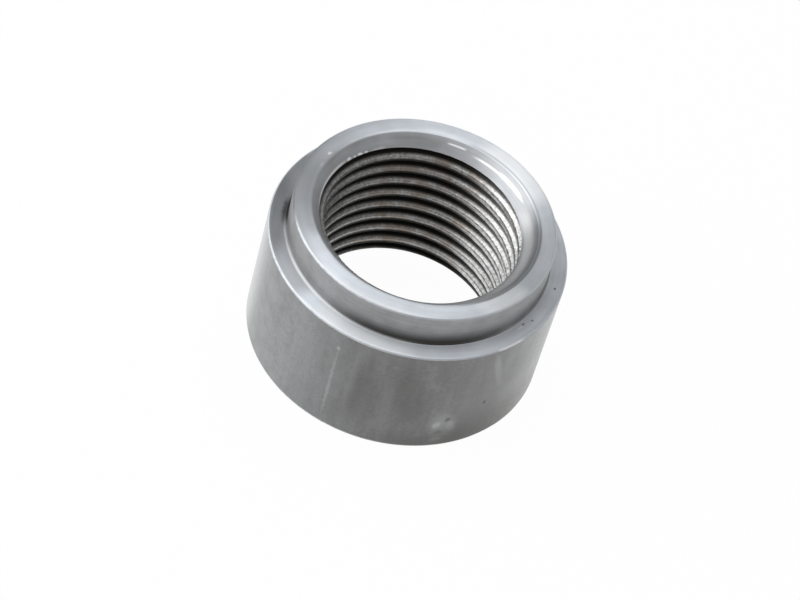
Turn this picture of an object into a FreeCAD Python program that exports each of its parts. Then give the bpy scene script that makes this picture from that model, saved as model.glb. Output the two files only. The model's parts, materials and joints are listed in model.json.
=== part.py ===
import FreeCAD, Part
import os
import Sketcher

# Oxygen sensor weld bung: one steel ring, turned from bar, with a tapped bore.
# The wide flat end takes the sensor's sealing washer, and the stepped pilot enters the exhaust pipe.
# Frame: origin at the centre of the wide end, +Z along the bore towards the pilot, millimetres.

doc = FreeCAD.newDocument("WeldBung")

# Driving sizes: name, value, what it is
SIZES = [
    ("thread_diameter", 18.0, "groove roots, the nominal size of the thread"),
    ("thread_pitch", 1.5, "rise of the groove in one turn"),
    ("thread_depth", 0.7, "groove roots to crests, less than the basic form as the bore is drilled large"),
    ("thread_angle", 60.0, "angle between the groove's two walls, degrees"),
    ("groove_height", 0.9, "middle of the lowest full turn of the groove above the wide end, on the X axis"),
    ("pilot_wall", 2.1, "groove roots to the outside of the pilot, which then fits a 22.2 hole"),
    ("pilot_length", 3.1, "shoulder to pilot end"),
    ("shoulder_width", 1.6, "outside of the pilot to outside of the body, which is then 25.4 across"),
    ("body_length", 11.6, "wide end to shoulder"),
    ("pilot_countersink", 1.3, "depth of the countersink at the pilot end"),
    ("seat_countersink", 1.1, "depth of the countersink at the wide end"),
    ("pilot_edge", 0.2, "edge break round the pilot end"),
    ("shoulder_edge", 0.2, "edge break round the shoulder"),
    ("seat_edge", 0.3, "edge break round the wide end"),
]

sheet = doc.addObject("Spreadsheet::Sheet", "Sizes")
for row, (alias, value, meaning) in enumerate(SIZES, start=1):
    sheet.set(f"A{row}", alias)
    sheet.set(f"B{row}", str(value))
    sheet.set(f"C{row}", meaning)
    sheet.setAlias(f"B{row}", alias)
doc.recompute()

# Sizes that follow from the driving ones, as formulas over the sheet
ROOT_RADIUS = "Sizes.thread_diameter / 2"
CREST_RADIUS = f"({ROOT_RADIUS} - Sizes.thread_depth)"
PILOT_RADIUS = f"({ROOT_RADIUS} + Sizes.pilot_wall)"
BODY_RADIUS = f"({PILOT_RADIUS} + Sizes.shoulder_width)"
SEAT = "0"
SHOULDER = "Sizes.body_length"
PILOT_END = "(Sizes.body_length + Sizes.pilot_length)"


def number(formula):
    """The present value of a formula over the sheet."""
    return float(sheet.evalExpression(formula))


def origin_plane(body, role):
    """One of the body's own origin planes."""
    return next(item for item in body.Origin.OriginFeatures if item.Role == role)


def half_section(body, name, corners):
    """A closed outline in the body's XZ plane, each corner bound to a formula for radius and height."""
    sketch = body.newObject("Sketcher::SketchObject", name)
    sketch.AttachmentSupport = [(origin_plane(body, "XZ_Plane"), "")]
    sketch.MapMode = "FlatFace"
    points = [FreeCAD.Vector(number(radius), number(height), 0) for radius, height in corners]
    count = len(points)
    for index, point in enumerate(points):
        sketch.addGeometry(Part.LineSegment(point, points[(index + 1) % count]), False)
    for index in range(count):
        sketch.addConstraint(Sketcher.Constraint("Coincident", index, 2, (index + 1) % count, 1))
    for index, (radius, height) in enumerate(corners):
        for kind, label, formula in (("DistanceX", "radius", radius), ("DistanceY", "height", height)):
            item = sketch.addConstraint(Sketcher.Constraint(kind, -1, 1, index, 1, number(formula)))
            sketch.renameConstraint(item, f"{label}{index}")
            sketch.setExpression(f"Constraints.{label}{index}", formula)
    return sketch


def round_edge(feature, radius, height):
    """The name of the feature's circular edge of this radius and height about the bore's axis."""
    for index, edge in enumerate(feature.Shape.Edges, start=1):
        curve = edge.Curve
        if not isinstance(curve, Part.Circle):
            continue
        if abs(curve.Radius - radius) < 1e-4 and abs(curve.Center.z - height) < 1e-4:
            return f"Edge{index}"
    raise ValueError(f"no edge of radius {radius} at height {height}")


def chamfer(body, name, radius, height, size):
    """A forty-five degree chamfer on one round edge of the body as it stands, its size a formula."""
    base = body.Tip
    feature = body.newObject("PartDesign::Chamfer", name)
    feature.Base = (base, [round_edge(base, number(radius), number(height))])
    feature.setExpression("Size", size)
    doc.recompute()


bung = doc.addObject("PartDesign::Body", "weld_bung")
bung.Label = "weld_bung"

# Turned and drilled ring: wide body, shoulder and pilot
ring_section = half_section(
    bung,
    "ring_section",
    [
        (CREST_RADIUS, SEAT),
        (BODY_RADIUS, SEAT),
        (BODY_RADIUS, SHOULDER),
        (PILOT_RADIUS, SHOULDER),
        (PILOT_RADIUS, PILOT_END),
        (CREST_RADIUS, PILOT_END),
    ],
)
ring = bung.newObject("PartDesign::Revolution", "ring")
ring.Profile = ring_section
ring.ReferenceAxis = (ring_section, ["V_Axis"])
ring.Angle = 360.0
doc.recompute()

# Ninety degree countersinks where the tap enters and leaves
chamfer(bung, "pilot_mouth", CREST_RADIUS, PILOT_END, "Sizes.pilot_countersink")
chamfer(bung, "seat_mouth", CREST_RADIUS, SEAT, "Sizes.seat_countersink")

# Broken outer edges
chamfer(bung, "pilot_edge_break", PILOT_RADIUS, PILOT_END, "Sizes.pilot_edge")
chamfer(bung, "shoulder_edge_break", BODY_RADIUS, SHOULDER, "Sizes.shoulder_edge")
chamfer(bung, "seat_edge_break", BODY_RADIUS, SEAT, "Sizes.seat_edge")

# Tapped thread: a right-hand groove, cut from below the wide end to above the pilot end.
# Its outline reaches a little inside the crests, so that no skin is left across the groove.
GROOVE_MIDDLE = "(Sizes.groove_height - 2 * Sizes.thread_pitch)"
GROOVE_RUN = f"{PILOT_END} + 3 * Sizes.thread_pitch"
OPEN_RADIUS = f"({CREST_RADIUS} - Sizes.thread_depth / 7)"
HALF_FLAT = "Sizes.thread_pitch / 16"
HALF_OPEN = f"({HALF_FLAT} + ({ROOT_RADIUS} - {OPEN_RADIUS}) * tan(Sizes.thread_angle / 2 * 1 deg))"
groove_section = half_section(
    bung,
    "groove_section",
    [
        (OPEN_RADIUS, f"{GROOVE_MIDDLE} - {HALF_OPEN}"),
        (ROOT_RADIUS, f"{GROOVE_MIDDLE} - {HALF_FLAT}"),
        (ROOT_RADIUS, f"{GROOVE_MIDDLE} + {HALF_FLAT}"),
        (OPEN_RADIUS, f"{GROOVE_MIDDLE} + {HALF_OPEN}"),
    ],
)
thread = bung.newObject("PartDesign::SubtractiveHelix", "thread")
thread.Profile = groove_section
thread.ReferenceAxis = (groove_section, ["V_Axis"])
thread.Mode = 0
thread.LeftHanded = False
thread.Reversed = False
# The crests stay one face to a turn
thread.Refine = False
thread.setExpression("Pitch", "Sizes.thread_pitch")
thread.setExpression("Height", GROOVE_RUN)
doc.recompute()

# Everything has to be sound before it is written
for item in doc.Objects:
    if {"Invalid", "Error"} & set(item.State):
        raise RuntimeError(f"{item.Name}: {item.State}")
if bung.Shape.isNull() or not bung.Shape.isValid():
    raise RuntimeError("weld_bung has no valid shape")
if bung.Shape.Volume >= thread.BaseFeature.Shape.Volume:
    raise RuntimeError("the thread cuts nothing")

os.makedirs("parts", exist_ok=True)
bung.Shape.exportStep(f"parts/{bung.Label}.step")
print(bung.Label, "solids", len(bung.Shape.Solids), "volume", round(bung.Shape.Volume, 2), "mm3")
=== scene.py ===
"""Looks of an oxygen sensor weld bung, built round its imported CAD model.

The bung is one ring, turned from cold drawn steel bar, then drilled, countersunk at both ends and tapped.
"""

import json
import math
from collections import namedtuple
from types import SimpleNamespace

import bmesh
import bpy
from mathutils import Matrix, Vector


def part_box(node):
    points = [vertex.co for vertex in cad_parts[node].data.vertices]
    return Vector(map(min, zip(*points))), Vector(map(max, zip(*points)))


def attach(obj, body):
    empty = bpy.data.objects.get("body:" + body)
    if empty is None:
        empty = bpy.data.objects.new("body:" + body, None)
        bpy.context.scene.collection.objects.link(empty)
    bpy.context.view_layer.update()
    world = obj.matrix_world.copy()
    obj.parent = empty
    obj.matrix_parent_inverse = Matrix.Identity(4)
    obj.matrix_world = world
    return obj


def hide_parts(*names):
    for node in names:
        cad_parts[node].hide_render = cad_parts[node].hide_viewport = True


bl_info = {
    "name": "Weld bung",
    "version": (1, 0, 0),
    "blender": (4, 5, 0),
    "location": "3D View > Sidebar > Weld bung",
    "description": "Models a tapped weld bung round its packed CAD model, finishes it and lights it",
    "category": "Object",
}

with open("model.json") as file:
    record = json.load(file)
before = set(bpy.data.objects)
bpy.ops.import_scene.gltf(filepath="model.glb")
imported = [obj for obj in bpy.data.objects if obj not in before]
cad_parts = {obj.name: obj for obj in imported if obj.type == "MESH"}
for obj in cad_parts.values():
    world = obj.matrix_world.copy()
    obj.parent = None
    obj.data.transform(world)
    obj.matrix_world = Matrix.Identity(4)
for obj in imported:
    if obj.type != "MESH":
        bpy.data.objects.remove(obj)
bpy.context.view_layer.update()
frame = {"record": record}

# What the frame says
MM = 0.001
CAD_NODE = "weld_bung"
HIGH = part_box(CAD_NODE)[1]
MOUNTS = {mount["name"]: mount for mount in frame["record"]["mounts"]}
BODY_RADIUS = HIGH.x
HEIGHT = HIGH.z
SHOULDER_HEIGHT = MOUNTS["shoulder"]["pos_m"][2]
PILOT_RADIUS = MOUNTS["pilot"]["dims"]["r_mm"] * MM
CREST_RADIUS = MOUNTS["sensor_thread"]["dims"]["r_mm"] * MM

# How finely the ring is divided, how near counts as the same place, and which bends are shaded smooth
AROUND = 448
NEAR = 0.01 * MM
SMOOTH_BELOW = math.radians(35)

# Roundings, where the CAD model has sharp edges
CORNER_ROUNDING = 0.25 * MM
MOUTH_ROUNDING = 0.12 * MM
THREAD_ROUNDING = 0.09 * MM

# The blank's bore is this much under the crests' radius, for the tap to cut away
BORE_UNDERSIZE = 0.3 * MM

# The tap: the slope of its flanks, and how far it reaches past each end of the ring
FLANK_SLOPE = math.tan(math.radians(30))
SPARE_TURNS = 2
OVERRUN = 0.5 * MM

# The torn metal beside the crests: how far it reaches into the groove, its grain and its height
TORN_REACH = 0.25 * MM
TORN_GRAIN = 0.3 * MM
TORN_HEIGHT = 0.065 * MM

# How level a face lies, as the upright share of its normal: walls, ends, and the countersinks between these
WALL_LEVEL = 0.02
END_LEVEL = 0.98
CONE_LEVELS = (0.6, 0.8)

# The photograph's camera, which looks down on the pilot end and is rolled a little
PHOTO_SIZE = (800, 600)
ORIGIN_IN_PHOTO = (392.1, 329.6)
FOCAL_PIXELS = 3105.7
SENSOR_WIDTH = 36.0
CAMERA_DISTANCE = 266.5 * MM
CAMERA_ELEVATION = math.radians(48.35)
CAMERA_ROLL = math.radians(16.74)

# The white sweep that the bung stands on, and how much of it the camera and the metal see as plain white
FLOOR_RADIUS = 1.0
WALL_HEIGHT = 0.14
PLAIN_WHITE = 0.97

# Sides of the ring, as angles in degrees round the bore from the X axis
# The side where the broken edges are rubbed bright and painted lighter as a highlight
RUBBED_AND_LIT_SIDE = -145
# The side of the wall that is darkened with painted shade
PAINTED_SHADE_SIDE = -72
# The side where grime and painted corner shade lie thickest
DIRT_AND_SHADE_SIDE = -78
# The side where the thread's oil and painted shade lie thickest
OILY_SHADED_SIDE = 123
VARNISHED_SIDE = 98

# Heights over which the groove's oil and painted shade thin out toward the top turn
TOP_TURN_THINNING = (13.35 * MM, 13.65 * MM)

# The middle part of a noise texture's values, and nearly all of them
NOISE_MIDDLE = {"From Min": 0.35, "From Max": 0.65}
NOISE_MOST = {"From Min": 0.3, "From Max": 0.7}

# Sockets of the Mix node, which has a pair for numbers and a pair for colours under the same names
FACTOR, NUMBER_A, NUMBER_B, COLOUR_A, COLOUR_B = 0, 2, 3, 6, 7


def linear(hex_colour):
    """An sRGB hex colour as linear red, green, blue and alpha."""
    parts = [int(hex_colour[start:start + 2], 16) / 255 for start in (1, 3, 5)]
    return tuple(p / 12.92 if p <= 0.04045 else ((p + 0.055) / 1.055) ** 2.4 for p in parts) + (1.0,)


class WeldBungSizes(bpy.types.PropertyGroup):
    """Sizes of the ring and its thread."""

    body_radius: bpy.props.FloatProperty(
        name="Body radius", description="Outside of the wide part",
        default=BODY_RADIUS, unit="LENGTH", precision=5,
    )
    height: bpy.props.FloatProperty(
        name="Height", description="Wide end to pilot end",
        default=HEIGHT, unit="LENGTH", precision=5,
    )
    shoulder_height: bpy.props.FloatProperty(
        name="Shoulder height", description="Wide end to shoulder",
        default=SHOULDER_HEIGHT, unit="LENGTH", precision=5,
    )
    pilot_radius: bpy.props.FloatProperty(
        name="Pilot radius", description="Outside of the pilot",
        default=PILOT_RADIUS, unit="LENGTH", precision=5,
    )
    crest_radius: bpy.props.FloatProperty(
        name="Crest radius", description="Drilled bore, where the crests are",
        default=CREST_RADIUS, unit="LENGTH", precision=5,
    )
    thread_depth: bpy.props.FloatProperty(
        name="Thread depth", description="Crests to groove roots",
        default=0.7 * MM, unit="LENGTH", precision=5,
    )
    thread_pitch: bpy.props.FloatProperty(
        name="Pitch", description="Rise of the groove in one turn",
        default=1.5 * MM, unit="LENGTH", precision=5,
    )
    groove_height: bpy.props.FloatProperty(
        name="Groove height",
        description="Middle of the lowest full turn of the groove above the wide end, on the X axis",
        default=0.9 * MM, unit="LENGTH", precision=5,
    )
    pilot_countersink: bpy.props.FloatProperty(
        name="Pilot countersink", description="Depth at the pilot end",
        default=1.3 * MM, unit="LENGTH", precision=5,
    )
    seat_countersink: bpy.props.FloatProperty(
        name="Seat countersink", description="Depth at the wide end",
        default=1.1 * MM, unit="LENGTH", precision=5,
    )
    outer_edge: bpy.props.FloatProperty(
        name="Outer edges", description="Edge break of pilot and shoulder",
        default=0.2 * MM, unit="LENGTH", precision=5,
    )
    seat_edge: bpy.props.FloatProperty(
        name="Seat edge", description="Edge break round the wide end",
        default=0.3 * MM, unit="LENGTH", precision=5,
    )


class WeldBungColours(bpy.types.PropertyGroup):
    """Colours of the ring's finishes and of the floor."""

    faced_light: bpy.props.FloatVectorProperty(
        name="Faced steel, light", description="Where the tool cut clean", subtype="COLOR", size=4,
        min=0.0, max=1.0, default=linear("#D3D8DE"),
    )
    faced_dark: bpy.props.FloatVectorProperty(
        name="Faced steel, dark", description="Between the tool's marks", subtype="COLOR", size=4,
        min=0.0, max=1.0, default=linear("#BFC4CA"),
    )
    countersink_light: bpy.props.FloatVectorProperty(
        name="Countersink, light", description="Where the countersink cut clean", subtype="COLOR", size=4,
        min=0.0, max=1.0, default=linear("#B9BCBF"),
    )
    countersink_dark: bpy.props.FloatVectorProperty(
        name="Countersink, dark", description="Where the countersink rubbed", subtype="COLOR", size=4,
        min=0.0, max=1.0, default=linear("#A5A7AA"),
    )
    # Used on the rubbed side of the edges, where it also stands as a painted highlight
    edge: bpy.props.FloatVectorProperty(
        name="Edges", description="Broken edges, burnished by handling", subtype="COLOR", size=4,
        min=0.0, max=1.0, default=linear("#D2D5D8"),
    )
    skin_light: bpy.props.FloatVectorProperty(
        name="Bar skin, light", description="Clean drawn skin", subtype="COLOR", size=4,
        min=0.0, max=1.0, default=linear("#999B9C"),
    )
    skin_dark: bpy.props.FloatVectorProperty(
        name="Bar skin, dark", description="Dull patches of the skin", subtype="COLOR", size=4,
        min=0.0, max=1.0, default=linear("#838586"),
    )
    # Painted shade on one side of the wall
    painted_shade: bpy.props.FloatVectorProperty(
        name="Stain", description="The dark side of the bar skin", subtype="COLOR", size=4,
        min=0.0, max=1.0, default=linear("#666565"),
    )
    pilot_light: bpy.props.FloatVectorProperty(
        name="Pilot wall, light", description="Where the tool cut clean", subtype="COLOR", size=4,
        min=0.0, max=1.0, default=linear("#A6A8A9"),
    )
    pilot_dark: bpy.props.FloatVectorProperty(
        name="Pilot wall, dark", description="Between the tool's marks", subtype="COLOR", size=4,
        min=0.0, max=1.0, default=linear("#949596"),
    )
    # Grime together with painted shade in the corner above the shoulder
    dirt_and_shade: bpy.props.FloatVectorProperty(
        name="Dirt", description="Dried dirt in the corner above the shoulder", subtype="COLOR", size=4,
        min=0.0, max=1.0, default=linear("#3E3B38"),
    )
    crest_light: bpy.props.FloatVectorProperty(
        name="Crests, light", description="Torn, bright metal of the crests", subtype="COLOR", size=4,
        min=0.0, max=1.0, default=linear("#E6E8EA"),
    )
    crest_dark: bpy.props.FloatVectorProperty(
        name="Crests, dark", description="Dull metal between the tears", subtype="COLOR", size=4,
        min=0.0, max=1.0, default=linear("#BAB7B2"),
    )
    # Dried oil together with painted shade in the grooves and under the crests
    oil: bpy.props.FloatVectorProperty(
        name="Cutting oil", description="Dried oil in the groove", subtype="COLOR", size=4,
        min=0.0, max=1.0, default=linear("#15120F"),
    )
    varnish: bpy.props.FloatVectorProperty(
        name="Oil varnish", description="Thin brown film of dried oil on the crests", subtype="COLOR", size=4,
        min=0.0, max=1.0, default=linear("#AE9F92"),
    )
    floor: bpy.props.FloatVectorProperty(
        name="Floor", description="Matt white paint", subtype="COLOR", size=4,
        min=0.0, max=1.0, default=linear("#F0F0F0"),
    )


class WeldBungStudio(bpy.types.PropertyGroup):
    """Brightness of the studio, as radiance, where 1 shows white."""

    left_light: bpy.props.FloatProperty(
        name="Left softbox", description="Radiance of the softbox at the left", default=1.6, min=0.0
    )
    top_light: bpy.props.FloatProperty(
        name="Top softbox", description="Radiance of the softbox overhead", default=1.5, min=0.0
    )
    world_light: bpy.props.FloatProperty(
        name="Room", description="Radiance of the room's pale walls", default=0.42, min=0.0
    )


def deselect():
    """Leaves nothing selected."""
    bpy.ops.object.select_all(action="DESELECT")


def pick(item, kind, test):
    """Selects, in edit mode, the faces, edges or vertices that pass a test, and nothing else."""
    bpy.ops.mesh.select_mode(type=kind)
    bpy.ops.mesh.select_all(action="DESELECT")
    mesh = bmesh.from_edit_mesh(item.data)
    parts = {"FACE": mesh.faces, "EDGE": mesh.edges, "VERT": mesh.verts}[kind]
    for part in parts:
        if test(part):
            part.select_set(True)
    bmesh.update_edit_mesh(item.data)


def is_circle(radius, height):
    """A test for the edges of one circle about the bore's axis."""

    def test(edge):
        return all(abs(v.co.xy.length - radius) < NEAR and abs(v.co.z - height) < NEAR for v in edge.verts)

    return test


def turned_blank(sizes):
    """The ring before it is tapped: a bar end, stepped, bored and countersunk at both ends."""
    pilot_length = sizes.height - sizes.shoulder_height
    bore_radius = sizes.crest_radius - BORE_UNDERSIZE
    mouth_radius = sizes.crest_radius + sizes.pilot_countersink
    seat_radius = sizes.crest_radius + sizes.seat_countersink
    deselect()
    bpy.ops.mesh.primitive_cylinder_add(
        vertices=AROUND,
        radius=sizes.body_radius,
        depth=sizes.shoulder_height,
        end_fill_type="NGON",
        location=(0, 0, sizes.shoulder_height / 2),
    )
    ring = bpy.context.object
    bpy.ops.object.transform_apply(location=True)
    bpy.ops.object.mode_set(mode="EDIT")
    pick(ring, "FACE", lambda face: face.normal.z > 0.9)
    bpy.ops.mesh.inset(thickness=sizes.body_radius - sizes.pilot_radius)
    bpy.ops.mesh.extrude_region_move(TRANSFORM_OT_translate={"value": (0, 0, pilot_length)})
    bpy.ops.mesh.inset(thickness=sizes.pilot_radius - mouth_radius)
    bpy.ops.mesh.inset(thickness=mouth_radius - bore_radius, depth=bore_radius - mouth_radius)
    pick(ring, "FACE", lambda face: face.normal.z < -0.9)
    bpy.ops.mesh.inset(thickness=sizes.body_radius - seat_radius)
    bpy.ops.mesh.inset(thickness=seat_radius - bore_radius, depth=bore_radius - seat_radius)
    pick(ring, "FACE", lambda face: len(face.verts) == AROUND)
    bpy.ops.mesh.bridge_edge_loops()
    # Where each edge is, how far its rounding reaches and into how many strips it is divided
    edges = [
        (sizes.pilot_radius, sizes.height, sizes.outer_edge, 4),
        (sizes.body_radius, sizes.shoulder_height, sizes.outer_edge, 4),
        (sizes.body_radius, 0.0, sizes.seat_edge, 4),
        (sizes.pilot_radius, sizes.shoulder_height, CORNER_ROUNDING, 4),
        (mouth_radius, sizes.height, MOUTH_ROUNDING, 3),
        (seat_radius, 0.0, MOUTH_ROUNDING, 3),
    ]
    for radius, height, reach, strips in edges:
        pick(ring, "EDGE", is_circle(radius, height))
        bpy.ops.mesh.bevel(offset=reach, segments=strips, profile=0.5, affect="EDGES")
    bpy.ops.object.mode_set(mode="OBJECT")
    return ring


def thread_tap(sizes):
    """A tap of the thread's own form, long enough to pass right through the ring."""
    turns = math.ceil(sizes.height / sizes.thread_pitch) + 2 * SPARE_TURNS
    flank_rise = sizes.thread_depth * FLANK_SLOPE
    root_flat = sizes.thread_pitch / 8
    crest_half = (sizes.thread_pitch - root_flat - 2 * flank_rise) / 2
    # From the middle of one crest to the middle of the next, with the groove's root half way
    outline = [
        (0, crest_half),
        (sizes.thread_depth, flank_rise),
        (0, root_flat),
        (-sizes.thread_depth, flank_rise),
        (0, crest_half),
    ]
    start = sizes.groove_height - sizes.thread_pitch * (SPARE_TURNS + 0.5)

    def across_crest(edge):
        """A test for the level runs of the outline at the crests, between their roundings."""
        return edge.calc_length() > 0.1 * MM and edge.verts[0].co.x < sizes.crest_radius + NEAR

    deselect()
    bpy.ops.mesh.primitive_plane_add(size=MM, location=(sizes.crest_radius, 0, start))
    tap = bpy.context.object
    bpy.ops.object.transform_apply(location=True)
    bpy.ops.object.mode_set(mode="EDIT")
    bpy.ops.mesh.select_mode(type="VERT")
    bpy.ops.mesh.select_all(action="SELECT")
    bpy.ops.mesh.merge(type="CENTER")
    for outward, up in outline:
        bpy.ops.mesh.extrude_region_move(TRANSFORM_OT_translate={"value": (outward, 0, up)})
    pick(tap, "VERT", lambda vert: len(vert.link_edges) == 2)
    bpy.ops.mesh.bevel(offset=THREAD_ROUNDING, segments=2, profile=0.5, affect="VERTICES")
    pick(tap, "EDGE", across_crest)
    bpy.ops.mesh.subdivide(number_cuts=1)
    bpy.ops.object.mode_set(mode="OBJECT")
    screw = tap.modifiers.new("thread", "SCREW")
    screw.axis = "Z"
    screw.angle = math.tau
    screw.screw_offset = sizes.thread_pitch
    screw.iterations = turns
    screw.steps = AROUND
    screw.render_steps = AROUND
    screw.use_merge_vertices = False
    bpy.ops.object.modifier_apply(modifier=screw.name)
    bpy.ops.object.mode_set(mode="EDIT")
    bpy.ops.mesh.select_all(action="SELECT")
    bpy.ops.mesh.remove_doubles(threshold=NEAR / 10)
    for height, below in ((-OVERRUN, True), (sizes.height + OVERRUN, False)):
        bpy.ops.mesh.select_all(action="SELECT")
        bpy.ops.mesh.bisect(
            plane_co=(0, 0, height),
            plane_no=(0, 0, 1),
            use_fill=True,
            clear_inner=below,
            clear_outer=not below,
            threshold=NEAR / 100,
        )
    bpy.ops.mesh.select_all(action="SELECT")
    bpy.ops.mesh.normals_make_consistent(inside=False)
    bpy.ops.object.mode_set(mode="OBJECT")
    tear_crests(tap, sizes)
    return tap


def tear_crests(tap, sizes):
    """Roughens the tap where it leaves the crests, as a blunt tap tears them."""
    crests = tap.vertex_groups.new(name="crests")
    for vert in tap.data.vertices:
        nearness = 1 - (vert.co.xy.length - sizes.crest_radius) / TORN_REACH
        if nearness > 0:
            crests.add([vert.index], nearness, "REPLACE")
    clouds = bpy.data.textures.new("torn_metal", "CLOUDS")
    clouds.noise_scale = TORN_GRAIN
    clouds.noise_depth = 2
    torn = tap.modifiers.new("torn", "DISPLACE")
    torn.texture = clouds
    torn.texture_coords = "LOCAL"
    torn.direction = "NORMAL"
    torn.vertex_group = crests.name
    torn.strength = TORN_HEIGHT
    torn.mid_level = 0.4
    bpy.ops.object.modifier_apply(modifier=torn.name)


def cut(item, tool):
    """Takes the tool's shape out of the item, and the tool away."""
    deselect()
    item.select_set(True)
    bpy.context.view_layer.objects.active = item
    boolean = item.modifiers.new("cut", "BOOLEAN")
    boolean.operation = "DIFFERENCE"
    boolean.solver = "EXACT"
    boolean.object = tool
    boolean.material_mode = "TRANSFER"
    bpy.ops.object.modifier_apply(modifier=boolean.name)
    bpy.data.objects.remove(tool)
    # Slivers where the two surfaces nearly touch are closed up
    bpy.ops.object.mode_set(mode="EDIT")
    bpy.ops.mesh.select_all(action="SELECT")
    bpy.ops.mesh.remove_doubles(threshold=NEAR / 5)
    bpy.ops.object.mode_set(mode="OBJECT")


def add_node(tree, kind, sockets=None, **settings):
    """Adds a node with its settings, and fills its sockets.

    A socket goes by its name, or by its number where several share a name. It takes a plain value,
    another node's output, or another node, for its first output in use.
    """
    node = tree.nodes.new(kind)
    for name, value in settings.items():
        setattr(node, name, value)
    for name, value in (sockets or {}).items():
        if isinstance(value, bpy.types.Node):
            value = next(output for output in value.outputs if output.enabled)
        if isinstance(value, bpy.types.NodeSocket):
            tree.links.new(value, node.inputs[name])
        else:
            node.inputs[name].default_value = value
    return node


def bare_metal(name):
    """A new material of bare metal, its node tree and its shader."""
    material = bpy.data.materials.new(name)
    material.use_nodes = True
    shader = material.node_tree.nodes["Principled BSDF"]
    shader.inputs["Metallic"].default_value = 1.0
    return material, material.node_tree, shader


def finish_metal(tree, shader, **looks):
    """Links what has been made to the shader's sockets, each named in lower case."""
    for name, node in looks.items():
        output = next(output for output in node.outputs if output.enabled)
        tree.links.new(output, shader.inputs[name.replace("_", " ").title()])


def where(tree):
    """What a pattern reads: the place, and its radius, its way outward, its angle and its height."""
    place = add_node(tree, "ShaderNodeTexCoord").outputs["Object"]
    flat = add_node(tree, "ShaderNodeVectorMath", {0: place, 1: (1, 1, 0)}, operation="MULTIPLY")
    along = add_node(tree, "ShaderNodeSeparateXYZ", {0: place}).outputs
    return SimpleNamespace(
        place=place,
        radius=add_node(tree, "ShaderNodeVectorMath", {0: flat}, operation="LENGTH"),
        outward=add_node(tree, "ShaderNodeVectorMath", {0: flat}, operation="NORMALIZE"),
        angle=add_node(tree, "ShaderNodeMath", {0: along["Y"], 1: along["X"]}, operation="ARCTAN2"),
        height=along["Z"],
    )


def toward(degrees):
    """The level direction at this angle round the bore, from the X axis."""
    return (math.cos(math.radians(degrees)), math.sin(math.radians(degrees)), 0)


def near_side(tree, at, degrees, edge, full, least=0.0, most=1.0):
    """How strongly a finish shows round the ring: most of all on one side, and least away from it.

    Where it begins to grow and where it is full are given as cosines of the angle from that side.
    """
    facing = add_node(
        tree, "ShaderNodeVectorMath", {0: at.outward, 1: toward(degrees)}, operation="DOT_PRODUCT"
    )
    reach = {"Value": facing, "From Min": edge, "From Max": full, "To Min": least, "To Max": most}
    return add_node(tree, "ShaderNodeMapRange", reach, interpolation_type="SMOOTHSTEP")


def ring_marks(tree, at, spacing):
    """Tool marks that run round the axis, this far apart, and fade in and out along their length."""
    # A turn of marks fades in and out a few times
    breaks = (1.5, 1.5, 1.5)
    across = add_node(tree, "ShaderNodeMath", {0: at.radius, 1: spacing}, operation="DIVIDE")
    along = add_node(tree, "ShaderNodeMath", {0: at.height, 1: spacing}, operation="DIVIDE")
    lift = add_node(tree, "ShaderNodeCombineXYZ", {"Z": across})
    ring = {0: at.outward, 1: breaks, 2: lift}
    place = add_node(tree, "ShaderNodeVectorMath", ring, operation="MULTIPLY_ADD")
    noise = {"Vector": place, "W": along, "Scale": 1.0, "Detail": 2.0}
    return add_node(tree, "ShaderNodeTexNoise", noise, noise_dimensions="4D")


# A mark is an oval: its place round the bore, the lengths of its half axes and its tilt.
# An arc is a stretch of a circle: its place round the bore, half of its span and half of its width.
# Angles are in degrees and lengths in millimetres.
Mark = namedtuple("Mark", "angle radius height deep wide long tilt tone strength")
Arc = namedtuple("Arc", "angle span radius width tone strength")


def marked(tree, at, colour, marks):
    """The colour with oval marks laid over it, which noise gives ragged edges."""
    ragged = add_node(
        tree, "ShaderNodeTexNoise", {"Vector": at.place, "Scale": 1 / (0.35 * MM), "Detail": 3.0}
    )
    # The noise lies round a half, so it moves an edge either way
    reach = (0.3 * MM,) * 3
    back = (-0.15 * MM,) * 3
    shift = add_node(
        tree,
        "ShaderNodeVectorMath",
        {0: ragged.outputs["Color"], 1: reach, 2: back},
        operation="MULTIPLY_ADD",
    )
    torn = add_node(tree, "ShaderNodeVectorMath", {0: at.place, 1: shift}, operation="ADD")
    for mark in marks:
        along = toward(mark.angle)
        radius = mark.radius * MM
        own = add_node(
            tree,
            "ShaderNodeMapping",
            {
                "Vector": torn,
                "Location": (radius * along[0], radius * along[1], mark.height * MM),
                "Rotation": (math.radians(mark.tilt), 0, math.radians(mark.angle)),
                "Scale": (mark.deep * MM, mark.wide * MM, mark.long * MM),
            },
            vector_type="TEXTURE",
        )
        away = add_node(tree, "ShaderNodeVectorMath", {0: own}, operation="LENGTH")
        fade = {"Value": away, "From Min": 1.0, "From Max": 0.3, "To Max": mark.strength}
        cover = add_node(tree, "ShaderNodeMapRange", fade, interpolation_type="SMOOTHSTEP")
        laid = {FACTOR: cover, COLOUR_A: colour, COLOUR_B: linear(mark.tone)}
        colour = add_node(tree, "ShaderNodeMix", laid, data_type="RGBA")
    return colour


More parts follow.
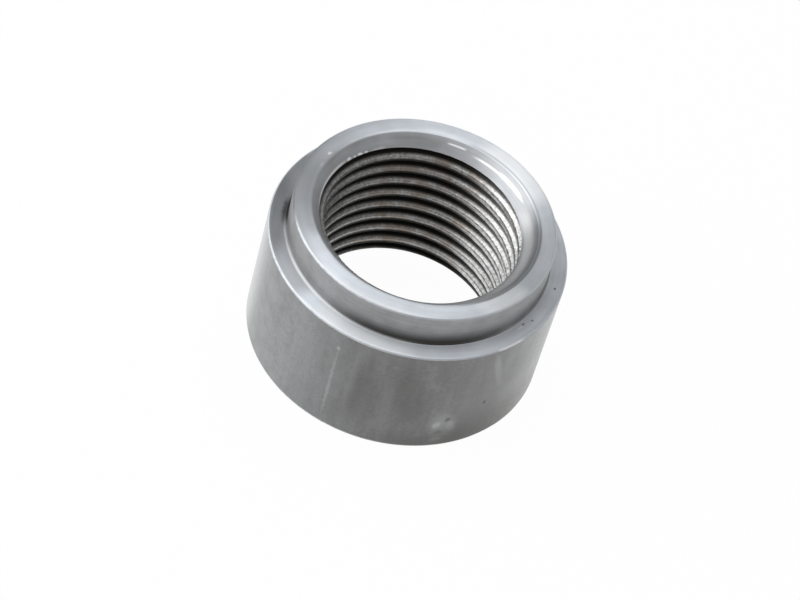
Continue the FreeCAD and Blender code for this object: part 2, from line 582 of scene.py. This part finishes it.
def ringed(tree, at, colour, arcs):
    """The colour with arcs laid over it, which run part of the way round the bore."""
    for arc in arcs:
        tip = math.cos(math.radians(arc.span))
        full = math.cos(math.radians(arc.span / 2))
        ends = near_side(tree, at, arc.angle, tip, full, most=arc.strength)
        side = add_node(tree, "ShaderNodeMath", {0: at.radius, 1: arc.radius * MM}, operation="SUBTRACT")
        away = add_node(tree, "ShaderNodeMath", {0: side}, operation="ABSOLUTE")
        fade = {"Value": away, "From Min": arc.width * MM, "From Max": arc.width * MM / 4}
        line = add_node(tree, "ShaderNodeMapRange", fade, interpolation_type="SMOOTHSTEP")
        cover = add_node(tree, "ShaderNodeMath", {0: ends, 1: line}, operation="MULTIPLY")
        laid = {FACTOR: cover, COLOUR_A: colour, COLOUR_B: linear(arc.tone)}
        colour = add_node(tree, "ShaderNodeMix", laid, data_type="RGBA")
    return colour


# On the faced ends: a darker patch, nicks and a bright fleck on the shoulder, and flecks painted white as
# glints on the pilot end
FACE_MARKS_AND_GLINTS = [
    Mark(-172, 11.9, 11.6, 1.2, 7.0, 1.0, 0, "#6A6A6B", 0.6),
    Mark(-3.8, 11.98, 11.6, 0.14, 0.2, 1.0, 0, "#3A3735", 0.9),
    Mark(-29.1, 11.62, 11.6, 0.13, 0.25, 1.0, 0, "#4A4846", 0.7),
    Mark(-24.7, 11.86, 11.6, 0.13, 0.2, 1.0, 0, "#3A3735", 0.7),
    Mark(-31.5, 11.7, 11.6, 0.1, 0.5, 1.0, 0, "#FFFFFF", 0.5),
    Mark(158, 9.9, 14.7, 0.18, 0.3, 1.0, 0, "#FFFFFF", 0.9),
    Mark(167, 9.75, 14.7, 0.12, 0.5, 1.0, 0, "#FFFFFF", 0.5),
]
# Painted highlight and shade: paler and darker stretches of the shoulder, then of the pilot end, then lines
# along the mouth's edge
FACE_LIGHT_AND_SHADE_ARCS = [
    Arc(164, 18, 11.9, 1.6, "#8A8C8F", 0.6),
    Arc(-146, 20, 11.9, 1.6, "#8A8C8F", 0.6),
    Arc(-100, 24, 11.9, 1.6, "#FFFFFF", 0.3),
    Arc(-172, 32, 10.4, 1.4, "#9FA1A3", 0.5),
    Arc(52, 26, 10.4, 1.4, "#FFFFFF", 0.4),
    Arc(-40, 16, 10.4, 1.4, "#FFFFFF", 0.3),
    Arc(128, 30, 9.64, 0.1, "#FFFFFF", 0.2),
    Arc(50, 34, 9.66, 0.14, "#85878A", 0.5),
    Arc(-18, 50, 9.66, 0.2, "#77797C", 0.75),
]
# In the corner between shoulder and pilot: a dark spot, and a painted highlight along the rounding
CORNER_MARKS = [
    Mark(-175.5, 11.2, 11.7, 0.6, 2.2, 1.0, 0, "#1E1D1E", 0.85),
]
CORNER_HIGHLIGHT_ARCS = [
    Arc(-137, 38, 11.3, 0.12, "#FFFFFF", 0.3),
    Arc(-116, 42, 11.27, 0.16, "#C8CACC", 0.5),
]
# On the broken edges: a painted highlight on the shoulder's edge, and painted shade along a stretch of the
# pilot's
EDGE_LIGHT_AND_SHADE_ARCS = [
    Arc(-40, 7, 12.6, 0.16, "#FFFFFF", 0.6),
    Arc(178, 34, 11.05, 0.3, "#6E7072", 0.8),
]
# Burrs where the first turn of the thread breaks into the countersink, painted white as glints
BURRS_AND_GLINTS = [
    Mark(149, 8.78, 13.88, 0.2, 0.35, 0.2, 0, "#FFFFFF", 1.0),
    Mark(145, 8.76, 13.86, 0.15, 0.25, 0.15, 0, "#FFFFFF", 0.9),
    Mark(141, 8.74, 13.84, 0.2, 0.35, 0.2, 0, "#FFFFFF", 1.0),
    Mark(137, 8.72, 13.82, 0.15, 0.25, 0.15, 0, "#FFFFFF", 0.9),
    Mark(129, 8.68, 13.78, 0.2, 0.9, 0.2, 0, "#FFFFFF", 0.35),
]
# In the countersink at the pilot end: smudges, then arcs of painted highlight and painted shade
CONE_MARKS = [
    Mark(106, 9.0, 14.1, 1.0, 3.2, 1.0, 0, "#6F6A64", 0.3),
    Mark(160, 8.6, 13.7, 0.3, 2.2, 0.3, 0, "#55565A", 0.5),
]
CONE_LIGHT_AND_SHADE_ARCS = [
    Arc(55, 22, 9.06, 0.1, "#FFFFFF", 1.0),
    Arc(48, 11, 9.08, 0.17, "#FFFFFF", 0.9),
    Arc(50, 34, 9.62, 0.12, "#85878A", 0.5),
    Arc(-18, 50, 9.56, 0.16, "#6E7072", 0.5),
    Arc(85, 6, 9.22, 0.08, "#FFFFFF", 1.0),
    Arc(172, 24, 8.8, 0.12, "#FFFFFF", 0.8),
    Arc(-6, 40, 9.5, 0.4, "#6E7072", 0.55),
    Arc(-6, 44, 8.75, 0.5, "#FFFFFF", 0.4),
]
# On the wall: a painted highlight down one side, a scratch, smudges, a pit, a scuff, and darker patches along
# the bottom
SKIN_MARKS_AND_HIGHLIGHT = [
    Mark(-177, 12.7, 6.0, 5.0, 6.0, 30.0, 0, "#E8EAEC", 0.52),
    Mark(-106.9, 12.7, 5.2, 1.0, 0.2, 5.6, 0, "#BDBFC0", 0.24),
    Mark(-107, 12.7, 9.6, 1.0, 0.25, 0.3, 0, "#DADCDE", 0.25),
    Mark(-93.5, 12.7, 5.8, 1.0, 1.6, 5.6, 0, "#4E4C4A", 0.36),
    Mark(-77, 12.7, 6.6, 1.4, 2.0, 6.4, 18, "#4E4C4A", 0.36),
    Mark(-43, 12.7, 8.8, 1.0, 0.5, 3.0, 16, "#C4C6C7", 0.2),
    Mark(-44.7, 12.7, 4.7, 1.0, 0.22, 0.3, 0, "#1C1A19", 0.95),
    Mark(-60, 12.7, 2.6, 1.0, 1.7, 2.4, 20, "#A6A8A9", 0.3),
    Mark(-63, 12.7, 2.9, 1.0, 0.6, 0.5, 35, "#B4B6B7", 0.35),
    Mark(-57, 12.7, 2.6, 1.0, 0.5, 1.0, 20, "#B4B6B7", 0.3),
    Mark(-61.5, 12.7, 1.0, 1.0, 0.8, 0.4, 0, "#B4B6B7", 0.25),
    Mark(-59, 12.7, 3.5, 1.0, 0.35, 0.4, 0, "#3E3C3A", 0.6),
    Mark(-61.5, 12.7, 1.9, 1.0, 0.6, 0.35, 0, "#3E3C3A", 0.4),
    Mark(-56, 12.7, 0.0, 8.0, 9.0, 3.2, 0, "#454340", 0.5),
    Mark(-20, 12.7, 0.0, 8.0, 8.0, 5.5, 0, "#3E3C39", 0.85),
    Mark(-44, 12.7, 1.0, 8.0, 5.0, 5.0, 0, "#3A3836", 0.45),
    Mark(-30, 12.7, 4.0, 8.0, 7.0, 9.0, 0, "#5E5D5C", 0.35),
]


def faced_steel(colours):
    """Low carbon steel, faced on a lathe: pale grey, with fine rings that spread its gloss outwards."""
    material, tree, shader = bare_metal("faced_low_carbon_steel")
    at = where(tree)
    # The tool's feed marks, about 0.05 mm apart on the real part, are drawn coarser to show
    marks = ring_marks(tree, at, 0.12 * MM)
    bands = ring_marks(tree, at, 0.5 * MM)
    patches = add_node(tree, "ShaderNodeTexNoise", {"Vector": at.place, "Scale": 1 / (2.5 * MM)})
    both = add_node(tree, "ShaderNodeMix", {FACTOR: 0.5, NUMBER_A: bands, NUMBER_B: patches})
    tone = add_node(tree, "ShaderNodeMapRange", {"Value": both} | NOISE_MIDDLE)
    steel = {FACTOR: tone, COLOUR_A: colours.faced_dark, COLOUR_B: colours.faced_light}
    colour = add_node(tree, "ShaderNodeMix", steel, data_type="RGBA")
    # Marks, among them flecks painted white as glints
    colour = marked(tree, at, colour, FACE_MARKS_AND_GLINTS + CORNER_MARKS)
    # Arcs of painted highlight and painted shade, on the ends and along the corner's rounding
    colour = ringed(tree, at, colour, FACE_LIGHT_AND_SHADE_ARCS + CORNER_HIGHLIGHT_ARCS)
    # The metal's own grain, about 0.03 mm, is drawn coarser too
    fine = {"Vector": at.place, "Scale": 1 / (0.25 * MM), "Detail": 2.0}
    grain = add_node(tree, "ShaderNodeTexNoise", fine)
    rough = add_node(tree, "ShaderNodeMix", {FACTOR: 0.5, NUMBER_A: marks, NUMBER_B: grain})
    gloss = {"Value": marks, "To Min": 0.42, "To Max": 0.5} | NOISE_MOST
    finish_metal(
        tree,
        shader,
        base_color=colour,
        roughness=add_node(tree, "ShaderNodeMapRange", gloss),
        normal=add_node(tree, "ShaderNodeBump", {"Height": rough, "Distance": 0.01 * MM}),
        tangent=add_node(tree, "ShaderNodeTangent", direction_type="RADIAL", axis="Z"),
    )
    shader.inputs["Anisotropic"].default_value = 0.8
    shader.inputs["Anisotropic Rotation"].default_value = 0.25
    return material


def countersunk_steel(colours):
    """Low carbon steel, countersunk: duller than the faced ends, with coarser rings, a painted highlight
    streak and painted shade.
    """
    material, tree, shader = bare_metal("countersunk_steel")
    at = where(tree)
    # A countersink chatters, and its rings lie 0.1 to 0.2 mm apart
    marks = ring_marks(tree, at, 0.2 * MM)
    patches = add_node(tree, "ShaderNodeTexNoise", {"Vector": at.place, "Scale": 1 / (2.0 * MM)})
    both = add_node(tree, "ShaderNodeMix", {FACTOR: 0.5, NUMBER_A: marks, NUMBER_B: patches})
    tone = add_node(tree, "ShaderNodeMapRange", {"Value": both} | NOISE_MIDDLE)
    steel = {FACTOR: tone, COLOUR_A: colours.countersink_dark, COLOUR_B: colours.countersink_light}
    colour = add_node(tree, "ShaderNodeMix", steel, data_type="RGBA")
    # Smudges, and burrs painted white as glints
    colour = marked(tree, at, colour, CONE_MARKS + BURRS_AND_GLINTS)
    # Arcs of painted highlight and painted shade
    colour = ringed(tree, at, colour, CONE_LIGHT_AND_SHADE_ARCS)
    gloss = {"Value": marks, "To Min": 0.4, "To Max": 0.5} | NOISE_MOST
    finish_metal(
        tree,
        shader,
        base_color=colour,
        roughness=add_node(tree, "ShaderNodeMapRange", gloss),
        normal=add_node(tree, "ShaderNodeBump", {"Height": marks, "Distance": 0.004 * MM}),
        tangent=add_node(tree, "ShaderNodeTangent", direction_type="RADIAL", axis="Z"),
    )
    shader.inputs["Anisotropic"].default_value = 0.6
    shader.inputs["Anisotropic Rotation"].default_value = 0.25
    return material


def burnished_edge(colours):
    """Low carbon steel edges, broken with a file: they turn from the wall's tone to the face's.

    One side is rubbed bright by handling, between small nicks, and is painted lighter there as a highlight.
    """
    material, tree, shader = bare_metal("burnished_steel_edge")
    at = where(tree)
    # Nicks of about half a millimetre
    small = {"Vector": at.place, "Scale": 1 / (0.5 * MM), "Detail": 3.0}
    nicks = add_node(tree, "ShaderNodeTexNoise", small)
    worn = {"Value": nicks, "To Min": 0.4} | NOISE_MOST
    tone = add_node(tree, "ShaderNodeMapRange", worn, interpolation_type="SMOOTHSTEP")
    # The rubbed side, which is also painted lighter as a highlight
    rubbed = near_side(tree, at, RUBBED_AND_LIT_SIDE, 0.4, 0.9)
    bright = add_node(tree, "ShaderNodeMath", {0: tone, 1: rubbed}, operation="MULTIPLY")
    normal = add_node(tree, "ShaderNodeTexCoord").outputs["Normal"]
    upward = add_node(tree, "ShaderNodeSeparateXYZ", {0: normal}).outputs["Z"]
    level = add_node(tree, "ShaderNodeMapRange", {"Value": upward, "From Max": 0.8})
    steel = {FACTOR: level, COLOUR_A: colours.pilot_dark, COLOUR_B: colours.faced_light}
    colour = add_node(tree, "ShaderNodeMix", steel, data_type="RGBA")
    polish = {FACTOR: bright, COLOUR_A: colour, COLOUR_B: colours.edge}
    colour = add_node(tree, "ShaderNodeMix", polish, data_type="RGBA")
    # A painted highlight on the shoulder's edge, and painted shade along the pilot's
    colour = ringed(tree, at, colour, EDGE_LIGHT_AND_SHADE_ARCS)
    gloss = {"Value": nicks, "To Min": 0.62, "To Max": 0.5} | NOISE_MIDDLE
    finish_metal(
        tree,
        shader,
        base_color=colour,
        roughness=add_node(tree, "ShaderNodeMapRange", gloss),
        normal=add_node(tree, "ShaderNodeBump", {"Height": nicks, "Distance": 0.006 * MM}),
    )
    return material


def bar_skin(colours):
    """Cold drawn bar skin: dull dark grey, faint streaks along the bar, smudges, a few nicks, painted shade
    and a painted highlight.
    """
    material, tree, shader = bare_metal("drawn_bar_skin")
    at = where(tree)
    # The skin's grain is finer than 0.1 mm and is drawn coarser to show. Streaks are 1 mm wide and run along
    # the bar, where the noise is stretched, and dull patches are 1 mm and more across.
    along = add_node(tree, "ShaderNodeVectorMath", {0: at.place, 1: (1, 1, 0.15)}, operation="MULTIPLY")
    fine = {"Vector": at.place, "Scale": 1 / (0.3 * MM), "Detail": 3.0}
    drawn = {"Vector": along, "Scale": 1 / (0.9 * MM), "Detail": 2.0}
    broad = {"Vector": at.place, "Scale": 1 / (1.2 * MM), "Detail": 5.0}
    grain = add_node(tree, "ShaderNodeTexNoise", fine)
    streaks = add_node(tree, "ShaderNodeTexNoise", drawn)
    patches = add_node(tree, "ShaderNodeTexNoise", broad)
    both = add_node(tree, "ShaderNodeMix", {FACTOR: 0.6, NUMBER_A: streaks, NUMBER_B: patches})
    dull = add_node(tree, "ShaderNodeMix", {FACTOR: 0.3, NUMBER_A: both, NUMBER_B: grain})
    soft = {"Value": dull, "From Min": 0.34, "From Max": 0.66}
    tone = add_node(tree, "ShaderNodeMapRange", soft, interpolation_type="SMOOTHSTEP")
    skin = {FACTOR: tone, COLOUR_A: colours.skin_dark, COLOUR_B: colours.skin_light}
    colour = add_node(tree, "ShaderNodeMix", skin, data_type="RGBA")
    # Painted shade covers one side, ends in blotches and lets the skin's tone through
    painted_shade_way = toward(PAINTED_SHADE_SIDE)
    facing = add_node(tree, "ShaderNodeVectorMath", {0: at.outward, 1: painted_shade_way}, operation="DOT_PRODUCT")
    uneven = {0: patches, 1: 0.55, 2: facing}
    blotch = add_node(tree, "ShaderNodeMath", uneven, operation="MULTIPLY_ADD")
    thin = add_node(tree, "ShaderNodeMapRange", {"Value": tone, "To Min": 1.0, "To Max": 0.7})
    reach = {"Value": blotch, "From Min": 0.82, "From Max": 1.32, "To Max": thin}
    painted_shade_cover = add_node(tree, "ShaderNodeMapRange", reach, interpolation_type="SMOOTHSTEP")
    painted_shade = {FACTOR: painted_shade_cover, COLOUR_A: colour, COLOUR_B: colours.painted_shade}
    colour = add_node(tree, "ShaderNodeMix", painted_shade, data_type="RGBA")
    # The marks include a painted highlight down one side of the wall
    colour = marked(tree, at, colour, SKIN_MARKS_AND_HIGHLIGHT)
    gloss = {"Value": grain, "To Min": 0.26, "To Max": 0.38} | NOISE_MOST
    finish_metal(
        tree,
        shader,
        base_color=colour,
        roughness=add_node(tree, "ShaderNodeMapRange", gloss),
        normal=add_node(tree, "ShaderNodeBump", {"Height": grain, "Distance": 0.006 * MM}),
    )
    # A thin film of oil, which shows where the wall is seen edge on
    shader.inputs["Coat Weight"].default_value = 0.27
    shader.inputs["Coat Roughness"].default_value = 0.2
    return material


def pilot_steel(colours, sizes):
    """Turned low carbon steel of the pilot's wall, dull, with grime and painted shade in the corner above the
    shoulder.
    """
    material, tree, shader = bare_metal("turned_pilot_steel")
    at = where(tree)
    # Feed marks, as on the faced ends
    marks = ring_marks(tree, at, 0.12 * MM)
    patches = add_node(tree, "ShaderNodeTexNoise", {"Vector": at.place, "Scale": 1 / (1.2 * MM)})
    both = add_node(tree, "ShaderNodeMix", {FACTOR: 0.5, NUMBER_A: marks, NUMBER_B: patches})
    tone = add_node(tree, "ShaderNodeMapRange", {"Value": both} | NOISE_MIDDLE)
    steel = {FACTOR: tone, COLOUR_A: colours.pilot_dark, COLOUR_B: colours.pilot_light}
    colour = add_node(tree, "ShaderNodeMix", steel, data_type="RGBA")
    # Grime and painted corner shade lie thick on one side, and thin out upward and round the ring
    side = near_side(tree, at, DIRT_AND_SHADE_SIDE, 0.7, 0.98, least=0.2, most=0.92)
    dirt_and_shade_top = sizes.shoulder_height + 1.7 * MM
    low = {"Value": at.height, "From Min": dirt_and_shade_top, "From Max": sizes.shoulder_height}
    depth = add_node(tree, "ShaderNodeMapRange", low, interpolation_type="SMOOTHSTEP")
    cover = add_node(tree, "ShaderNodeMath", {0: side, 1: depth}, operation="MULTIPLY")
    dirt_and_shade = {FACTOR: cover, COLOUR_A: colour, COLOUR_B: colours.dirt_and_shade}
    colour = add_node(tree, "ShaderNodeMix", dirt_and_shade, data_type="RGBA")
    colour = marked(tree, at, colour, CORNER_MARKS)
    # A painted highlight along the rounding
    colour = ringed(tree, at, colour, CORNER_HIGHLIGHT_ARCS)
    finish_metal(
        tree,
        shader,
        base_color=colour,
        normal=add_node(tree, "ShaderNodeBump", {"Height": marks, "Distance": 0.003 * MM}),
        tangent=add_node(tree, "ShaderNodeTangent", direction_type="RADIAL", axis="Z"),
    )
    shader.inputs["Roughness"].default_value = 0.45
    shader.inputs["Anisotropic"].default_value = 0.7
    shader.inputs["Anisotropic Rotation"].default_value = 0.25
    return material


def up_the_turn(tree, at, sizes):
    """How far up its turn a point of the thread is: 0 in the groove's middle, 0.5 in the crest's."""
    turn = add_node(tree, "ShaderNodeMath", {0: at.angle, 1: math.tau}, operation="DIVIDE")
    rise = add_node(tree, "ShaderNodeMath", {0: at.height, 1: sizes.groove_height}, operation="SUBTRACT")
    turns = add_node(tree, "ShaderNodeMath", {0: rise, 1: sizes.thread_pitch}, operation="DIVIDE")
    above = add_node(tree, "ShaderNodeMath", {0: turns, 1: turn}, operation="SUBTRACT")
    return add_node(tree, "ShaderNodeMath", {0: above}, operation="FRACT")


def varnished(tree, at, colour, colours):
    """The colour with brown varnish laid over it in patches, on the side where the oil dried thin."""
    near = near_side(tree, at, VARNISHED_SIDE, 0.74, 0.95, most=0.8)
    patches = add_node(tree, "ShaderNodeTexNoise", {"Vector": at.place, "Scale": 1 / (1.5 * MM)})
    spread = add_node(tree, "ShaderNodeMapRange", {"Value": patches, "From Min": 0.4, "From Max": 0.6})
    brown = add_node(tree, "ShaderNodeMath", {0: near, 1: spread}, operation="MULTIPLY")
    varnish = {FACTOR: brown, COLOUR_A: colour, COLOUR_B: colours.varnish}
    return add_node(tree, "ShaderNodeMix", varnish, data_type="RGBA")


def oil_and_shade_cover(tree, at, sizes):
    """How much of the thread dried oil and painted shade cover: mostly one side and deep in the grooves, less
    toward the top turn.
    """
    wet_and_shaded = near_side(tree, at, OILY_SHADED_SIDE, 0.05, 0.78)
    # On the darker side the cover thins out over the crests, and on the other side it is left in the roots
    up_crest = {"Value": up_the_turn(tree, at, sizes), "From Min": 0.68, "From Max": 0.4}
    lower_half = add_node(tree, "ShaderNodeMapRange", up_crest, interpolation_type="SMOOTHSTEP")
    on_crest = add_node(tree, "ShaderNodeMath", {0: lower_half, 1: wet_and_shaded}, operation="MULTIPLY")
    into_groove = {
        "Value": at.radius,
        "From Min": sizes.crest_radius - 0.02 * MM,
        "From Max": sizes.crest_radius + 0.42 * MM,
    }
    in_groove = add_node(tree, "ShaderNodeMapRange", into_groove, interpolation_type="SMOOTHSTEP")
    film = add_node(tree, "ShaderNodeMath", {0: on_crest, 1: in_groove}, operation="MAXIMUM")
    bare = add_node(tree, "ShaderNodeMapRange", {"Value": wet_and_shaded, "To Min": 0.75, "To Max": 0.0})
    thin = add_node(tree, "ShaderNodeMapRange", {"Value": wet_and_shaded, "To Min": 0.0, "To Max": 0.25})
    thick = add_node(tree, "ShaderNodeMapRange", {"Value": wet_and_shaded, "To Min": 0.75, "To Max": 1.0})
    spread = {"Value": film, "From Min": bare, "To Min": thin, "To Max": thick}
    cover = add_node(tree, "ShaderNodeMapRange", spread)
    top = {"Value": at.height, "From Min": TOP_TURN_THINNING[0], "From Max": TOP_TURN_THINNING[1], "To Min": 1.0, "To Max": 0.4}
    left = add_node(tree, "ShaderNodeMapRange", top, interpolation_type="SMOOTHSTEP")
    return add_node(tree, "ShaderNodeMath", {0: cover, 1: left}, operation="MULTIPLY")


def tapped_steel(colours, sizes):
    """Tapped low carbon steel: torn, speckled crests, and grooves nearly black with dried cutting oil and
    painted shade.
    """
    material, tree, shader = bare_metal("tapped_steel")
    at = where(tree)
    # The tears are about 0.1 mm across and are drawn a little coarser to show
    small = {"Vector": at.place, "Scale": 1 / (0.22 * MM), "Detail": 3.0}
    specks = add_node(tree, "ShaderNodeTexNoise", small)
    torn = {"Value": specks} | NOISE_MIDDLE
    tone = add_node(tree, "ShaderNodeMapRange", torn, interpolation_type="SMOOTHSTEP")
    steel = {FACTOR: tone, COLOUR_A: colours.crest_dark, COLOUR_B: colours.crest_light}
    colour = add_node(tree, "ShaderNodeMix", steel, data_type="RGBA")
    colour = varnished(tree, at, colour, colours)
    # Dried oil and painted shade: deep in the grooves, and on the crests' lower halves on one side
    cover = oil_and_shade_cover(tree, at, sizes)
    oil = {FACTOR: cover, COLOUR_A: colour, COLOUR_B: colours.oil}
    colour = add_node(tree, "ShaderNodeMix", oil, data_type="RGBA")
    # Burrs painted white as glints
    colour = marked(tree, at, colour, BURRS_AND_GLINTS)
    gloss = {"Value": specks, "To Min": 0.34, "To Max": 0.46} | NOISE_MOST
    finish_metal(
        tree,
        shader,
        base_color=colour,
        metallic=add_node(tree, "ShaderNodeMapRange", {"Value": cover, "From Min": 1.0, "From Max": 0.5}),
        roughness=add_node(tree, "ShaderNodeMapRange", gloss),
        normal=add_node(tree, "ShaderNodeBump", {"Height": specks, "Distance": 0.018 * MM}),
    )
    # Where oil and painted shade cover the metal it hardly shines
    shader.inputs["Specular IOR Level"].default_value = 0.1
    return material


def finish_of(face, sizes):
    """Which of the ring's materials a face of the blank takes, by its place and by how level it lies."""
    radius = face.center.xy.length
    level = abs(face.normal.z)
    is_wall = level < WALL_LEVEL
    above_shoulder = face.center.z > sizes.shoulder_height + NEAR
    if is_wall and radius > sizes.body_radius - 2 * NEAR:
        return "skin"
    if is_wall and above_shoulder and radius > sizes.pilot_radius - 2 * NEAR:
        return "pilot"
    if WALL_LEVEL < level < END_LEVEL and radius > sizes.pilot_radius - sizes.outer_edge:
        inside_body_edge = radius < sizes.body_radius - sizes.seat_edge
        below_pilot_edge = face.center.z < sizes.height - sizes.outer_edge
        return "pilot" if inside_body_edge and below_pilot_edge else "edge"
    mouth_radius = sizes.crest_radius + sizes.pilot_countersink
    if CONE_LEVELS[0] < level < CONE_LEVELS[1] and radius < mouth_radius:
        return "countersink"
    return "faced"


class WELDBUNG_OT_ring(bpy.types.Operator):
    """Models the threaded ring and gives it its finishes"""

    bl_idname = "weld_bung.ring"
    bl_label = "Threaded ring"

    def execute(self, context):
        sizes = context.scene.weld_bung_sizes
        colours = context.scene.weld_bung_colours
        ring = turned_blank(sizes)
        tap = thread_tap(sizes)
        finishes = {
            "faced": faced_steel(colours),
            "countersink": countersunk_steel(colours),
            "edge": burnished_edge(colours),
            "skin": bar_skin(colours),
            "pilot": pilot_steel(colours, sizes),
        }
        for material in finishes.values():
            ring.data.materials.append(material)
        tap.data.materials.append(tapped_steel(colours, sizes))
        for face in ring.data.polygons:
            face.material_index = list(finishes).index(finish_of(face, sizes))
        cut(ring, tap)
        ring.name = "threaded_ring"
        ring.data.name = ring.name
        bpy.ops.object.shade_smooth_by_angle(angle=SMOOTH_BELOW)
        weighted = ring.modifiers.new("flat_faces", "WEIGHTED_NORMAL")
        weighted.keep_sharp = True
        bpy.ops.object.modifier_apply(modifier=weighted.name)
        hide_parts(CAD_NODE)
        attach(ring, "root")
        return {"FINISHED"}


def photo_camera():
    """The camera where the photograph was taken, aimed so that the frame's origin falls on its pixel."""
    level = Vector((1, 0, 0))
    steep = Vector((0, math.sin(CAMERA_ELEVATION), math.cos(CAMERA_ELEVATION)))
    back = level.cross(steep)
    right = level * math.cos(CAMERA_ROLL) + steep * math.sin(CAMERA_ROLL)
    up = steep * math.cos(CAMERA_ROLL) - level * math.sin(CAMERA_ROLL)
    across = (PHOTO_SIZE[0] / 2 - ORIGIN_IN_PHOTO[0]) / FOCAL_PIXELS
    down = (PHOTO_SIZE[1] / 2 - ORIGIN_IN_PHOTO[1]) / FOCAL_PIXELS
    axis = (back - right * across + up * down).normalized()
    side = up.cross(axis).normalized()
    turn = Matrix((side, axis.cross(side), axis)).transposed()
    deselect()
    bpy.ops.object.camera_add(location=back * CAMERA_DISTANCE, rotation=turn.to_euler())
    camera = bpy.context.object
    camera.name = "photo_camera"
    camera.data.sensor_width = SENSOR_WIDTH
    camera.data.lens = FOCAL_PIXELS / PHOTO_SIZE[0] * SENSOR_WIDTH
    camera.data.clip_start = 0.01
    camera.data.clip_end = 10.0
    return camera


def soft_light(name, direction, distance, size, radiance):
    """A square soft light that faces the object, its brightness given as radiance."""
    back = Vector(direction).normalized()
    deselect()
    turn = back.to_track_quat("Z", "Y").to_euler()
    bpy.ops.object.light_add(type="AREA", location=back * distance, rotation=turn)
    light = bpy.context.object
    light.name = name
    light.data.shape = "SQUARE"
    light.data.size = size
    light.data.energy = radiance * math.pi * size * size


def white_sweep():
    """A wide white floor that sweeps up into a low wall all round."""
    deselect()
    bpy.ops.mesh.primitive_circle_add(vertices=96, radius=FLOOR_RADIUS, fill_type="NGON")
    floor = bpy.context.object
    floor.name = "white_sweep"
    bpy.ops.object.mode_set(mode="EDIT")
    pick(floor, "EDGE", lambda edge: True)
    bpy.ops.mesh.extrude_edges_move(TRANSFORM_OT_translate={"value": (0, 0, WALL_HEIGHT)})
    pick(floor, "EDGE", is_circle(FLOOR_RADIUS, 0))
    bpy.ops.mesh.bevel(offset=WALL_HEIGHT / 2, segments=8, profile=0.5, affect="EDGES")
    bpy.ops.object.mode_set(mode="OBJECT")
    bpy.ops.object.shade_smooth_by_angle(angle=SMOOTH_BELOW)
    return floor


def floor_paint(colours):
    """Matt white paint: the camera and the metal see it nearly white, with the object's shadow."""
    material = bpy.data.materials.new("matt_white_paint")
    material.use_nodes = True
    tree = material.node_tree
    shader = tree.nodes["Principled BSDF"]
    shader.inputs["Base Color"].default_value = colours.floor
    shader.inputs["Roughness"].default_value = 0.9
    rays = add_node(tree, "ShaderNodeLightPath").outputs
    looks = {0: rays["Is Camera Ray"], 1: rays["Is Glossy Ray"]}
    seen = add_node(tree, "ShaderNodeMath", looks, operation="MAXIMUM")
    looks = {0: seen, 1: rays["Is Transmission Ray"]}
    seen = add_node(tree, "ShaderNodeMath", looks, operation="MAXIMUM")
    share = add_node(tree, "ShaderNodeMath", {0: seen, 1: PLAIN_WHITE}, operation="MULTIPLY")
    white = add_node(tree, "ShaderNodeEmission", {"Strength": 1.0})
    mix = add_node(tree, "ShaderNodeMixShader", {0: share, 1: shader.outputs["BSDF"], 2: white})
    tree.links.new(mix.outputs["Shader"], tree.nodes["Material Output"].inputs["Surface"])
    return material


class WELDBUNG_OT_studio(bpy.types.Operator):
    """Sets the camera, the floor, the lights and the room"""

    bl_idname = "weld_bung.studio"
    bl_label = "Studio"

    def execute(self, context):
        scene = context.scene
        studio = scene.weld_bung_studio
        scene.view_settings.view_transform = "Standard"
        scene.camera = photo_camera()
        floor = white_sweep()
        floor.data.materials.append(floor_paint(scene.weld_bung_colours))
        soft_light("left_softbox", (-0.84, -0.14, 0.52), distance=0.4, size=0.46, radiance=studio.left_light)
        soft_light("top_softbox", (-0.08, 0.14, 0.99), distance=0.5, size=0.5, radiance=studio.top_light)
        room = bpy.data.worlds.new("pale_room")
        room.use_nodes = True
        background = room.node_tree.nodes["Background"]
        background.inputs["Color"].default_value = (1, 1, 1, 1)
        background.inputs["Strength"].default_value = studio.world_light
        scene.world = room
        return {"FINISHED"}


class WELDBUNG_PT_panel(bpy.types.Panel):
    """The weld bung's sizes, colours, studio and steps"""

    bl_label = "Weld bung"
    bl_idname = "WELDBUNG_PT_panel"
    bl_space_type = "VIEW_3D"
    bl_region_type = "UI"
    bl_category = "Weld bung"

    def draw(self, context):
        scene = context.scene
        for group in (scene.weld_bung_sizes, scene.weld_bung_colours, scene.weld_bung_studio):
            box = self.layout.box()
            for name in group.__annotations__:
                box.prop(group, name)
        self.layout.operator(WELDBUNG_OT_ring.bl_idname)
        self.layout.operator(WELDBUNG_OT_studio.bl_idname)


CLASSES = (
    WeldBungSizes,
    WeldBungColours,
    WeldBungStudio,
    WELDBUNG_OT_ring,
    WELDBUNG_OT_studio,
    WELDBUNG_PT_panel,
)


def register():
    for item in CLASSES:
        bpy.utils.register_class(item)
    bpy.types.Scene.weld_bung_sizes = bpy.props.PointerProperty(type=WeldBungSizes)
    bpy.types.Scene.weld_bung_colours = bpy.props.PointerProperty(type=WeldBungColours)
    bpy.types.Scene.weld_bung_studio = bpy.props.PointerProperty(type=WeldBungStudio)


def unregister():
    del bpy.types.Scene.weld_bung_studio
    del bpy.types.Scene.weld_bung_colours
    del bpy.types.Scene.weld_bung_sizes
    for item in reversed(CLASSES):
        bpy.utils.unregister_class(item)


def main():
    """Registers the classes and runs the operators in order."""
    register()
    bpy.ops.weld_bung.ring()
    bpy.ops.weld_bung.studio()


if __name__ == "__main__":
    main()
